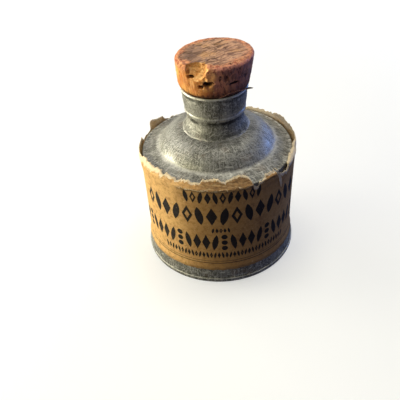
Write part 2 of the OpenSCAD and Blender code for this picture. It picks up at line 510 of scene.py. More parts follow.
def build_tin():
    """The tin's turned pieces, and the finish of the CAD solder."""
    t = PLATE
    skirt = BODY_R - t - FIT
    foot_z = [WALL_FOOT_Z + (FLARE_Z - WALL_FOOT_Z) * i / 14 for i in range(15)]
    wall = [(WALL_FOOT_R, t + FIT)] + [(float(wall_r(z)), z) for z in foot_z]
    wall += [(BODY_R, RIM_Z)]
    under = ([(0.0, DISH[1])] + arc((DISH[0] - t, DISH[1] - t), t, 90, 0, 6)
             + arc((DISH[0] + 0.4, 0.4), 0.4, 180, 270, 6)
             + arc((FOOT_R - 0.45, 0.45), 0.45, 270, 360, 8)
             + [(FOOT_R, CURL_Z - t / 2)])
    curl = arc((FOOT_R - t / 2, CURL_Z - t / 2), t / 2, 0, 324, 9)
    top = ([(skirt, RIM_Z - 3.8)] + arc((skirt - 0.5, RIM_Z - 0.4), 0.5, 0, 66)
           + bow(CREASE, (11.52, NECK_FOOT_Z), 1.3))
    stub = ([(NECK_R, NECK_FOOT_Z - 1)]
            + bow((NECK_R, NECK_FOOT_Z + 0.5), GROOVE, -0.45)
            + [(GROOVE[0], top_of("neck_base"))])
    bead = (GROOVE[0] + 0.38, GROOVE[1] + 2)
    lip = (11.35, LIP_Z - 0.45)
    collar = bow((bead[0] + 0.1, bead[1] + 0.3), lip, 0.25)
    roll = [(bead[0] + (r - bead[0]) * 0.36, bead[1] + (z - bead[1]) * 0.85)
            for r, z in arc(bead, 1, 0, 345, 23)]
    foot = NECK_FOOT_Z
    fillet = [(11.42, foot - 0.2), (12.3, foot - 0.55), (12.1, foot - 0.2),
              (11.85, foot + 0.1), (11.6, foot + 0.34), (11.42, foot + 0.5)]
    # Painted highlights lie on the lip, bead, crease, foot's curl and solder ring; painted
    # shade under the lip, in the groove, at the rim, on the flange, round the neck's foot
    # and low on the foot
    # Piece, the node it replaces, its outlines, its dents' depth and size, its finish
    pieces = [
        ("tin_wall", "body_wall", [sheet(wall, t)], (0.02, 9.0),
         tinplate("tin_wall", "#8b8981", "#55534d", painted_shade=[(RIM_Z, 0.5, 0.7)])),
        ("tin_foot", "bottom_end", [sheet(under, t), curl], (0.03, 8.0),
         tinplate("tin_foot", "#9c9a90", "#63615a",
                  painted_highlight=[(1.75, 0.35, 0.7)], painted_shade=[(0.3, 0.5, 0.75)])),
        ("tin_dome", "shoulder", [sheet(top, t)], (0.10, 8.0),
         tinplate("tin_dome", "#9d9c96", "#5d5c57", rough=0.48,
                  painted_highlight=[(CREASE[1] - 0.1, 0.6, 0.4)],
                  painted_shade=[(RIM_Z - 0.4, 0.35, 0.6), (RIM_Z + 1.1, 1.7, 0.34),
                         (NECK_FOOT_Z - 0.6, 0.8, 0.25)])),
        ("tin_stub", "neck_base", [sheet(stub, t)], (0.07, 5.0),
         tinplate("tin_neck", "#97958c", "#5b5953", rough=0.58,
                  painted_shade=[(GROOVE[1] + 0.1, 1.2, 0.95), (NECK_FOOT_Z + 1.2, 1.5, 0.35)])),
        ("tin_collar", "neck_collar",
         [sheet(collar, t), roll, arc(lip, 0.45, 0, 345, 17)], (0.06, 6.0),
         tinplate("tin_collar", "#a3a198", "#5a5852",
                  painted_highlight=[(LIP_Z - 0.15, 0.5, 1.0), (LIP_Z - 0.1, 0.5, 1.0),
                         (GROOVE[1] + 2.3, 0.40, 0.45)],
                  painted_shade=[(LIP_Z - 1.5, 0.8, 0.75)])),
        ("solder_ring", "neck_solder", [fillet], (0.14, 2.2),
         tinplate("neck_solder_metal", "#9a988f", "#504e49", rough=0.60,
                  painted_highlight=[(NECK_FOOT_Z - 0.25, 0.6, 0.35)])),
    ]
    for name, node, outlines, dents, finish in pieces:
        piece = turned(name, outlines, dents)
        piece.data.materials.append(finish)
        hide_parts(node)
        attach(piece, "can")
    solder = tinplate("solder", "#8d8b83", "#575550", rough=0.55,
                      painted_shade=[(RIM_Z, 0.5, 0.5)])
    for node in ("shoulder_solder", "bottom_solder", "side_seam_solder"):
        set_material(node, solder)


def set_material(node, material):
    """Gives a CAD node that stays in view its finish."""
    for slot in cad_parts[node].material_slots:
        slot.material = material


# ---- label

# The paper past the rim: (angle from the front, mm past the rim)
TORN_EDGE = [
    (-180, 0.4), (-153, -0.3), (-135, 0.4), (-132, 2.3), (-125, 2.8), (-117.5, 3.6),
    (-116.5, 0.2), (-104, -0.4), (-101, 1.5), (-90, 1.6), (-76, 1.1), (-72, 2.4),
    (-60, 2.2), (-57, 2.5), (-53, 3.0), (-49, 2.4), (-44, 2.9), (-38, 2.5), (-27, 2.9),
    (-14.5, 3.0), (-13, 4.5), (-1, 4.6), (2, 4.0), (5, 3.0), (6, 3.9), (12, 4.8),
    (21, 5.0), (24.5, 3.2), (25.3, -0.4), (28.8, -1.3), (29.8, 0.2), (36, 1.1),
    (46, 1.9), (47.2, -0.6), (57.5, -1.4), (60, 0.9), (68, 2.0), (82, 2.6),
    (92, 2.7), (103, 2.6), (112, 3.0), (125, 2.7), (136, 1.2), (143, 1.6), (153, 0.6),
    (180, 0.4),
]
# How far that paper turns in over the flange: (angle, degrees)
FOLD = [
    (-180, -6), (-136, 4), (-133, 2), (-117, -10), (-115, 6), (-104, 5), (-100, -6),
    (-84, -2), (-79, 16), (-74, 44), (-60, 52), (-44, 62), (-37, 70), (26, 70),
    (32, 62), (46, 60), (48, 40), (58, 48), (76, 44), (84, 18), (90, -8), (104, -8),
    (114, -20), (140, -24), (156, -12), (180, -6),
]
# Width of the torn strip that shows the paper's pale core: (angle, mm)
PEEL = [
    (-180, 0.6), (-116, 0.6), (-104, 0.8), (-98, 1.6), (-80, 1.9), (-74, 2.1),
    (-60, 1.9), (-45, 1.5), (-38, 1.0), (-14, 0.8), (-12, 0.9), (20, 0.9),
    (24, 1.4), (28, 1.1), (33, 0.7), (44, 0.8), (48, 1.0), (56, 1.4), (62, 2.3),
    (75, 2.4), (86, 1.8), (98, 1.0), (108, 2.4), (150, 2.2), (165, 0.6), (180, 0.6),
]
# How much thicker the torn edge is, where its layers have split: (angle, mm)
SPLIT = [
    (-108, 0.0), (-98, 0.16), (-70, 0.22), (-45, 0.20), (-34, 0.0), (52, 0.0), (60, 0.45),
    (80, 0.45), (92, 0.15), (100, 0.0),
]
# How ragged the torn edge is: (angle, share)
RAGGED = [
    (-100, 0), (-85, 1), (-30, 1), (-15, 0), (22, 0), (30, 0.6), (60, 1), (100, 0.4),
    (115, 0.9), (150, 0.8), (170, 0),
]
# How far the label stands off the metal near its top: (angle, mm)
STAND_OFF = [
    (-180, 0.1), (-140, 0.2), (-120, 0.4), (-104, 0.7), (-92, 0.9), (-80, 0.6),
    (-66, 0.2), (-40, 0.0), (50, 0.0), (70, 0.25), (90, 0.4), (110, 0.2), (180, 0.1),
]
# How far it is loose over most of its height: (angle, mm at the rim)
LOOSE = [
    (-180, 0.1), (-110, 0.1), (-80, 0.3), (-50, 0.05), (40, 0.05), (62, 0.5),
    (85, 0.80), (110, 0.40), (140, 0.10), (180, 0.1),
]


def label_points():
    """Inner face of the label, in rows from its foot to its torn edge, with
    its place on the flat sheet and its distance below the torn edge."""
    columns, low_rows, high_rows, turning = 628, 25, 54, 38.0
    angles = np.linspace(-LAP, LAP, columns)
    turn = (angles + 180) % 360 - 180
    round_can = polar(turn, BODY_R, 0.0)
    edge = through(TORN_EDGE, turn)
    ragged = 0.5 + 0.5 * through(RAGGED, turn)
    edge += ragged * (0.75 * noise_at(round_can, 0.6, 1, 3)
                      + 0.42 * noise_at(round_can, 1.9, 2, 2))
    foot = LABEL_Z + 0.18 * noise_at(round_can, 0.5, 3, 4)
    low = np.linspace(0, 1, low_rows)[:, None] * (turning - foot) + foot
    high = np.linspace(0, 1, high_rows)[1:, None] * (RIM_Z + edge - turning) + turning
    s = np.vstack([low, high])

    # How far the sheet stands off the wall
    wrinkle = noise_at(round_can, 0.3, 5, 3)
    flat = polar(np.broadcast_to(turn, s.shape).ravel(), BODY_R, s.ravel())
    ripple = noise_at(flat * (1, 1, 0.6), 0.22, 6, 3).reshape(s.shape)
    crumple = noise_at(flat, 0.8, 7, 3).reshape(s.shape)
    rise = ease((s - 35) / (RIM_Z - 35))
    off = GAP + through(STAND_OFF, turn) * rise
    off = off + through(LOOSE, turn) * ease((s - 12) / 30)
    off = off + 0.05 * (1 + ripple) + 0.12 * rise * (1 + wrinkle)
    off = off + 0.22 * ease((angles - 164) / 7) + 0.15 * ease((angles - 183) / 5)

    # Past the rim the paper turns in, or stands
    step = 0.05
    fine = np.arange(0, 8, step)
    fold = through(FOLD, turn)[:, None] + 5 * wrinkle[:, None]
    folded = ease((fold - 30) / 20)
    swing = fold * ease(fine / 0.55) * (
        1 + 0.17 * folded * (1 - ease((fine - 0.6) / 1.2)))
    swing -= (10 * folded * (0.6 + noise_at(round_can, 0.25, 9, 2)[:, None])
              * ease((fine - 1.4) / 2.4))
    swing = np.radians(swing)
    inward = np.cumsum(np.sin(swing), axis=1) * step
    upward = np.cumsum(np.cos(swing), axis=1) * step
    r = wall_r(s) + off
    z = s.copy()
    start = RIM_Z - 0.1
    for k in range(columns):
        past = s[:, k] - start
        over = past > 0
        r[over, k] -= np.interp(past[over], fine, inward[k])
        z[over, k] = start + np.interp(past[over], fine, upward[k])
    over = r < BODY_R - 0.25
    z = np.where(over, np.maximum(z, flange_z(r) + 0.08), z)
    z += 0.10 * (1 + crumple) * ease((s - RIM_Z - 0.4) / 1.5) * ease((BODY_R - r) / 1.0)
    # Furrows in the folded margin
    around = np.broadcast_to(np.radians(angles) * BODY_R, s.shape)
    furrow = noise_at(np.stack([around * 0.3, s * 1.1, 0 * s], axis=-1).reshape(-1, 3),
                      1.0, 10, 3).reshape(s.shape)
    z += 0.30 * (0.4 + furrow) * ease((s - RIM_Z - 0.3) / 0.8) * ease((BODY_R - r) / 0.5)
    z = np.where(over, np.maximum(z, flange_z(r) + 0.05), z)
    # It stays inside the foot's width
    free_r, give = FOOT_R - 0.6, 0.38
    far = np.maximum(r - free_r, 0) / give
    r = np.minimum(r, free_r) + give * (1 - np.exp(-far))
    points = polar(np.broadcast_to(turn, r.shape).ravel(), r.ravel(), z.ravel())
    below = (RIM_Z + edge - s) / through(PEEL, turn)
    return points.reshape(*s.shape, 3), around, s - LABEL_Z, below


def solid_sheet(name, inner, thickness, maps):
    """A closed sheet from a grid of points and its thickness at each."""
    rows, columns = inner.shape[:2]
    du = np.gradient(inner, axis=1)
    dv = np.gradient(inner, axis=0)
    outer = inner + unit(np.cross(du, dv)) * thickness[..., None]
    n = rows * columns
    front = [tuple(v + n for v in f) for f in grid_faces(rows, columns, False)]
    back = [f[::-1] for f in grid_faces(rows, columns, False)]
    loop = (list(range(columns)) + [j * columns + columns - 1 for j in range(1, rows)]
            + [(rows - 1) * columns + i for i in range(columns - 2, -1, -1)]
            + [j * columns for j in range(rows - 2, 0, -1)])
    edge = [(a, b, b + n, a + n) for a, b in zip(loop, loop[1:] + loop[:1])]
    points = np.vstack([inner.reshape(-1, 3), outer.reshape(-1, 3)])
    both = {}
    for key, (x, y) in maps.items():
        flat = np.stack([x.ravel(), y.ravel()], axis=1)
        both[key] = np.vstack([flat, flat])
    side = np.concatenate([np.zeros(n), np.ones(n)])
    both["side"] = np.stack([side, side], axis=1)
    return mesh_object(name, points, back + front + edge, both)


# Middle height on the sheet, height, from, to, pitch, ornaments, line weight
ORNAMENTS = [
    (33.6, 5.4, -13.0, 15.4, 2.58, ["left", "ring", "right", "lozenge"], 0.32),
    (25.4, 8.1, -31.5, 34.5, 4.4, ["ring", "left", "lozenge", "right"], 0.48),
    (19.0, 2.5, -3.4, 3.6, 1.4, ["right", "lozenge", "ring", "lozenge", "left"], 0.2),
    (13.3, 7.6, -40.0, 42.0, 3.3, ["lozenge", "right", "beads", "left", "ring"], 0.66),
    (7.1, 3.3, -22.6, 26.4, 1.4, ["left", "ring", "right", "lozenge"], 0.24),
]
# Printed lines: height and half thickness
RULES = [(3.1, 0.22), (4.1, 0.14)]


def ornament(g, u, v, middle, height, start, end, pitch, cells, weight):
    """Ink of one row of printer's ornaments: its depth inside a shape, in mm,
    and where the row runs. cells names the shapes of the row's repeat."""
    inside = g.mul(g.math("GREATER_THAN", u, start), g.math("LESS_THAN", u, end))
    place = g.div(g.sub(u, start), pitch)
    cell = g.math("FLOOR", place)
    kind = g.math("FLOORED_MODULO", cell, float(len(cells)))
    x = g.mul(g.sub(g.sub(place, cell), 0.5), pitch)
    y = g.sub(v, middle)
    ax, ay = g.abs(x), g.abs(y)
    half, reach = height / 2, pitch * 0.47
    lozenge = g.mul(g.sub(1.0, g.add(g.div(ax, reach), g.div(ay, half))), reach * 0.8)

    def leaf(tilt):
        """A pointed leaf that leans by a share of its height."""
        across = g.abs(g.sub(x, g.mul(y, tilt)))
        wide = reach * 0.72
        r = (wide * wide + half * half) / (2 * wide)
        out = g.add(across, r - wide)
        return g.sub(r, g.length(out, y))

    shapes = {
        "lozenge": lambda: lozenge,
        "ring": lambda: g.sub(weight, g.abs(g.sub(lozenge, weight))),
        "right": lambda: leaf(0.16),
        "left": lambda: leaf(-0.16),
        "beads": lambda: g.sub(half * 0.30, g.length(x, g.sub(
            g.abs(g.sub(ay, half * 0.35)), half * 0.35))),
    }
    depth = None
    for index, key in enumerate(cells):
        chosen = g.math("COMPARE", kind, float(index), 0.1)
        part = g.add(shapes[key](), g.mul(g.sub(chosen, 1.0), 50.0))
        depth = part if depth is None else g.max(depth, part)
    return depth, inside


def paper_material():
    """Brown kraft paper: mottled, stained, printed, and pale where it is torn, with
    painted light on its left and painted shade on its right and on its flaps.
    """
    g = Graph("kraft_paper")
    u, v, _ = g.map("sheet")
    below, _, _ = g.map("wear")
    side, _, _ = g.map("side")
    flat = g.join(u, v)
    cloud = g.noise(9.0, flat, detail=4, rough=0.6)
    mottle = g.noise(1.5, flat, detail=4, rough=0.65)
    grain = g.noise(0.22, flat, detail=2, rough=0.7)
    fibre = g.stretched((u, 1.6), (v, 0.25), detail=2, twist=0.8)
    color = g.mix(g.range(cloud, 0.3, 0.7), "#b5864c", "#cb9c60")
    # Painted light: the paper is lighter towards its lit left, with a wandering edge
    drifted_u = g.stray(u, cloud, 16.0)
    painted_light_left = g.window(drifted_u, -66.0, -42.0, -17.0, -9.0)
    color = g.mix(g.mul(painted_light_left, 0.7), color, "#e3b473")
    # Painted shade, where real stains also gather: darker towards the front and right
    shade_and_stain = g.window(drifted_u, -4.0, 5.0, 38.0, 62.0)
    color = g.mix(g.mul(shade_and_stain, 0.38), color, "#936840")
    color = g.mix(g.range(mottle, 0.45, 0.66, 0.0, 0.6), color, "#94642f")
    color = g.mix(g.range(grain, 0.35, 0.7, 0.0, 0.30), color, "#dcb67c")
    color = g.mix(g.range(fibre, 0.60, 0.72, 0.0, 0.40), color, "#855b31")
    scuff = g.range(g.noise(0.9, flat, detail=3, rough=0.7, twist=0.5), 0.60, 0.70)
    color = g.mix(g.mul(scuff, 0.45), color, "#ecd2a0")
    stain = g.range(g.noise(4.5, flat, detail=4, rough=0.65), 0.50, 0.66)
    stain = g.mul(stain, g.add(0.20, g.mul(shade_and_stain, 0.35)))
    color = g.mix(stain, color, "#7c5131")
    # Painted shade darkens the folded flaps in front, in a mottle
    flap_shade = g.mul(g.range(v, 36.2, 37.4), g.window(u, -7.0, -5.6, 11.8, 13.5))
    flap_shade = g.mul(flap_shade, g.range(mottle, 0.35, 0.6, 0.30, 0.75))
    color = g.mix(flap_shade, color, "#7c6040")
    ink = None
    wobble = g.mul(g.sub(g.noise(0.35, flat), 0.5), 0.32)
    for row in ORNAMENTS:
        depth, inside = ornament(g, u, v, *row)
        part = g.mul(g.range(g.add(depth, wobble), -0.02, 0.10), inside)
        ink = part if ink is None else g.max(ink, part)
    for height, thick in RULES:
        away = g.abs(g.sub(v, height))
        line = g.range(g.add(away, g.mul(wobble, 0.35)), thick, thick * 0.5)
        ink = g.max(ink, g.mul(line, 0.85))
    worn = g.range(g.noise(0.5, flat, detail=3, rough=0.7), 0.28, 0.38, 0.35, 1.0)
    ink = g.mul(g.mul(ink, worn), 0.98)
    color = g.mix(g.mul(ink, side), color, "#0e0f16")
    # The fold over the rim has cracked and shows the core
    fold_line = g.add(g.mul(g.noise(2.6, flat, detail=5, rough=0.65), 4.4), 34.4)
    crack = g.abs(g.sub(v, fold_line))
    crack = g.mul(g.range(crack, 0.30, 0.08), g.window(u, -16.0, -13.0, 10.0, 13.0))
    shade = g.abs(g.sub(g.add(v, 0.4), fold_line))
    shade = g.mul(g.range(shade, 0.42, 0.05), g.window(u, -17.0, -14.0, 20.0, 24.0))
    color = g.mix(g.mul(shade, 0.62), color, "#3c2412")
    # Painted shade and painted highlight along the flaps' furrows
    furrow = g.stretched((u, 3.2), (v, 0.5), detail=3, twist=1.0)
    flap = g.mul(g.range(v, 35.2, 36.2), g.window(u, -17.0, -12.0, 20.0, 26.0))
    color = g.mix(g.mul(flap, g.range(furrow, 0.52, 0.64, 0.0, 0.6)), color, "#5f452b")
    color = g.mix(g.mul(flap, g.range(furrow, 0.42, 0.34, 0.0, 0.35)), color, "#dcc294")
    # The back, and the pale core along the tear
    back = g.mix(g.range(mottle, 0.35, 0.65), "#cda46c", "#ecce9c")
    color = g.mix(side, back, color)
    core = g.range(g.stray(below, g.noise(0.7, flat, detail=4), 1.6), 1.25, 0.75)
    pale = g.mix(g.range(grain, 0.35, 0.65), "#d8c09a", "#f0dfc2")
    flaked = g.range(g.noise(1.6, flat, detail=2), 0.44, 0.56, 0.1, 0.6)
    core = g.max(core, g.mul(crack, flaked))
    color = g.mix(core, color, pale)
    height = g.add(g.mul(grain, 0.5), g.add(g.mul(fibre, 0.35), g.mul(core, -1.0)))
    # Creases along the folded top, and slanting ones lower down on the left
    crease = g.stretched((u, 6.0), (v, 0.55), detail=3, twist=0.6)
    crease = g.mul(crease, g.range(v, 33.2, 34.8))
    slant = g.stretched((g.sub(u, g.mul(v, 1.1)), 0.9), (g.add(u, v), 9.0),
                        detail=2, twist=0.4)
    slant = g.mul(slant, g.mul(g.range(v, 20.0, 29.0), g.range(u, -8.0, -18.0)))
    normal = g.bump(height, 0.05, 0.8)
    normal = g.bump(cloud, 0.5, 0.35, normal)
    normal = g.bump(crease, 0.45, 0.8, normal)
    normal = g.bump(g.mul(furrow, flap), 0.5, 0.8, normal)
    normal = g.bump(slant, 0.30, 0.6, normal)
    rough = g.range(mottle, 0.3, 0.7, 0.62, 0.8)
    return g.finish(color=color, rough=rough, specular=0.3, normal=normal)


# A torn sliver that hangs over the edge: angle, r - BODY_R, z, half width
SLIVER = [
    (50.9, 0.62, 35.6, 0.10), (50.6, 0.66, 36.4, 0.30), (50.0, 0.70, 38.0, 0.52),
    (49.4, 0.66, 39.4, 0.58), (48.6, 0.62, 41.0, 0.45), (47.8, 0.52, 42.4, 0.30),
    (47.2, 0.22, 43.4, 0.22), (46.7, -0.45, 44.0, 0.20), (46.2, -1.10, 44.3, 0.12),
]


def build_sliver(paper):
    """The torn sliver, a narrow sheet along its path."""
    rows, columns = 60, 9
    share = np.linspace(0, 1, len(SLIVER))
    t = np.linspace(0, 1, rows)
    angle, out, z, half = (np.interp(t, share, column) for column in zip(*SLIVER))
    across = np.linspace(-1, 1, columns)[None, :]
    ragged = 1 + 0.25 * noise_at(polar(angle, 0.0, z), 1.4, 31, 2)[:, None]
    turn = angle[:, None] + np.degrees(across * (half[:, None] * ragged) / BODY_R)
    r = BODY_R + out[:, None] + 0.16 * across * (1 - t)[:, None] + 0.10 * across ** 2
    inner = polar(turn, r, np.broadcast_to(z[:, None], r.shape))
    u = np.radians(turn) * BODY_R
    zero = 0 * u
    piece = solid_sheet("label_sliver", inner, np.full(r.shape, 0.11),
                        {"sheet": (u, zero + z[:, None] - LABEL_Z), "wear": (zero, zero)})
    piece.data.materials.append(paper)
    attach(piece, "can")


def build_label():
    inner, u, v, below = label_points()
    angles = np.degrees(u / BODY_R)
    thickness = PAPER * ease(0.45 + below * 0.5) + through(SPLIT, angles) * (
        ease(below / 0.3) * (1 - ease((below - 0.6) / 1.0)))
    piece = solid_sheet("label", inner, thickness,
                        {"sheet": (u, v), "wear": (below, 0 * below)})
    paper = paper_material()
    piece.data.materials.append(paper)
    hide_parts("paper_label")
    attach(piece, "can")
    build_sliver(paper)


# ---- cork

CORK_FOOT = foot_of("cork")
CORK_TOP = top_of("cork")
# Hollows cut into the cork: angle, r, height above the top, then half sizes
# along the round, outwards and upwards, then how dark it is: its own dark and
# painted shade in it (0 is freshly broken)
HOLLOWS = [
    (-27.5, 13.9, 0.6, 4.6, 4.6, 6.7, 0.0),
    (-17.0, 13.6, -4.6, 1.9, 1.8, 2.3, 0.0),
    (-41.5, 12.8, -1.8, 0.55, 1.6, 2.5, 0.45),
    (-38.2, 12.3, -5.0, 1.1, 2.2, 0.65, 1.0),
    (-20.0, 12.3, -7.5, 0.75, 1.9, 0.75, 1.0),
    (-10.0, 12.4, -6.5, 1.5, 2.2, 1.00, 1.0),
    (-4.5, 12.7, -5.9, 1.1, 1.4, 0.50, 1.0),
    (-3.8, 13.4, -0.6, 0.7, 0.5, 0.20, 0.9),
    (30.0, 12.9, -7.0, 2.0, 1.1, 0.45, 1.0),
    (37.3, 12.9, -9.2, 0.3, 0.5, 2.2, 0.7),
    (50.0, 13.2, -6.0, 2.2, 0.4, 0.9, 0.6),
    (118.0, 13.2, -4.9, 0.8, 0.9, 0.9, 1.0),
    (163.0, 12.8, -8.1, 0.5, 0.8, 1.4, 0.8),
    (-140.0, 13.3, -3.7, 0.9, 0.8, 0.5, 1.0),
    (-95.0, 12.7, -7.7, 0.5, 0.7, 1.1, 0.9),
    (-60.0, 10.7, -15.5, 0.5, 0.7, 1.0, 0.9),
    (60.0, 10.4, -17.9, 0.9, 0.6, 0.5, 0.9),
]
# Marks on the top: from, to, half width, depth, tone (1 dark, -1 pale); the
# dark is partly painted shade in the cuts
MARKS = [
    ((-2.6, -7.3), (1.2, -5.0), 0.32, 0.45, 1.0),
    ((4.9, -0.7), (7.2, 0.5), 0.30, 0.45, 1.0),
    ((8.2, 1.8), (10.9, 4.1), 0.28, 0.5, 1.0),
    ((10.6, 3.9), (12.4, 5.4), 0.5, 0.7, 1.0),
    ((-12.2, -0.3), (-8.0, 1.6), 0.26, 0.4, 0.9),
    ((-11.6, -2.4), (-10.1, -0.2), 0.24, 0.3, 0.9),
    ((-6.4, 5.9), (-2.8, 6.4), 0.55, 0.15, 0.7),
    ((-1.0, 6.8), (2.6, 5.2), 0.50, 0.12, 0.65),
    ((0.4, -3.3), (4.6, -1.2), 0.22, 0.2, 0.6),
    ((-9.4, 0.3), (-4.0, -1.4), 0.9, 0.06, 0.4),
    ((-7.0, -4.4), (-3.4, -3.6), 0.3, 0.15, 0.5),
    ((-3.6, 9.4), (1.4, 9.9), 0.4, 0.12, 0.5),
    ((5.2, 7.4), (8.6, 6.2), 0.35, 0.15, 0.5),
    ((-1.2, 1.4), (3.0, 3.4), 0.25, 0.12, 0.45),
    ((-6.5, 3.8), (-4.7, 4.2), 0.38, -0.06, -1.0),
    ((2.6, 2.8), (3.9, 3.2), 0.34, -0.06, -1.0),
    ((-3.0, 5.0), (-2.2, 5.5), 0.22, -0.04, -1.0),
]
# How far the cork leans to the right, and how its top is cut askew: rise per
# millimetre to the right and to the back, then the drop at its middle
LEAN = 0.5
ASKEW = (0.030, -0.050)
ASKEW_DROP = 0.66


def cork_outline():
    """(r, z) from the middle of the foot to the middle of the top."""
    side = [(CORK_FOOT + 0.6, 10.05), (LIP_Z - 0.1, 10.72), (LIP_Z + 0.5, 11.55),
            (LIP_Z + 1.0, 12.1), (LIP_Z + 2.6, 12.45), (CORK_TOP - 5.2, 12.95),
            (CORK_TOP - 1.7, 13.30)]
    foot = [(r, CORK_FOOT + 0.03) for r in np.linspace(0, 9.5, 12)]
    foot += arc((9.52, CORK_FOOT + 0.53), 0.5, -80, 0, 4)
    z = np.linspace(CORK_FOOT + 0.7, CORK_TOP - 1.75, 110)
    wall = [(float(through(side, h)), float(h)) for h in z]
    rim = [(12.0 + 1.3 * math.cos(a), CORK_TOP - 1.6 + 1.35 * math.sin(a))
           for a in np.radians(np.linspace(4, 84, 16))]
    top = [(r, CORK_TOP - 0.25) for r in np.linspace(11.9, 0, 52)]
    return foot + wall + rim + top


# Bits of the cork's skin: angle, r, z above the lip, half thickness
FIBRE = [
    (6.0, 12.0, 0.55, 0.05), (10.8, 12.2, 0.95, 0.12), (17.5, 12.4, 1.65, 0.14),
    (23.8, 12.5, 2.05, 0.15), (35.9, 12.6, 2.05, 0.15), (48.4, 12.55, 1.20, 0.14),
    (58.0, 12.4, 0.60, 0.10), (64.0, 12.3, 0.35, 0.05),
]
SPLINTER = [
    (57.0, 11.9, 0.55, 0.08), (61.0, 12.3, 0.45, 0.32), (65.0, 12.9, 0.30, 0.36),
    (68.0, 13.5, 0.05, 0.22), (70.0, 13.9, -0.10, 0.05),
]


def thread(name, places, material):
    """A thin tapered shred along a path."""
    share = np.linspace(0, 1, len(places))
    t = np.linspace(0, 1, 8 * len(places))
    angle, r, above, half = (np.interp(t, share, column) for column in zip(*places))
    path = polar(angle, r, LIP_Z + above)
    path += 0.05 * np.stack([noise_at(path, 1.3, seed, 2) for seed in (41, 42, 43)], axis=1)
    forward = unit(np.gradient(path, axis=0))
    right = unit(np.cross(forward, (0.0, 0.0, 1.0)))
    up = np.cross(right, forward)
    sides = 7
    rings = []
    for k in range(sides):
        a = 2 * math.pi * k / sides
        rings.append(path + (half * (0.7 * math.cos(a)))[:, None] * right
                     + (half * math.sin(a))[:, None] * up)
    points = np.stack(rings, axis=1).reshape(-1, 3)
    faces = grid_faces(len(path), sides, True)
    faces += [tuple(range(sides))[::-1], tuple(range(len(points) - sides, len(points)))]
    piece = mesh_object(name, points, faces, {"wear": np.zeros((len(points), 2))})
    tidy_mesh(piece)
    piece.data.materials.append(material)
    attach(piece, "stopper")


def skin_material(name, light, dark):
    """Dry shreds of cork skin."""
    g = Graph(name)
    grain = g.noise(0.5, detail=3)
    color = g.mix(g.range(grain, 0.35, 0.65), dark, light)
    return g.finish(color=color, rough=g.range(grain, 0.3, 0.7, 0.6, 0.8),
                    normal=g.bump(grain, 0.05, 0.6))


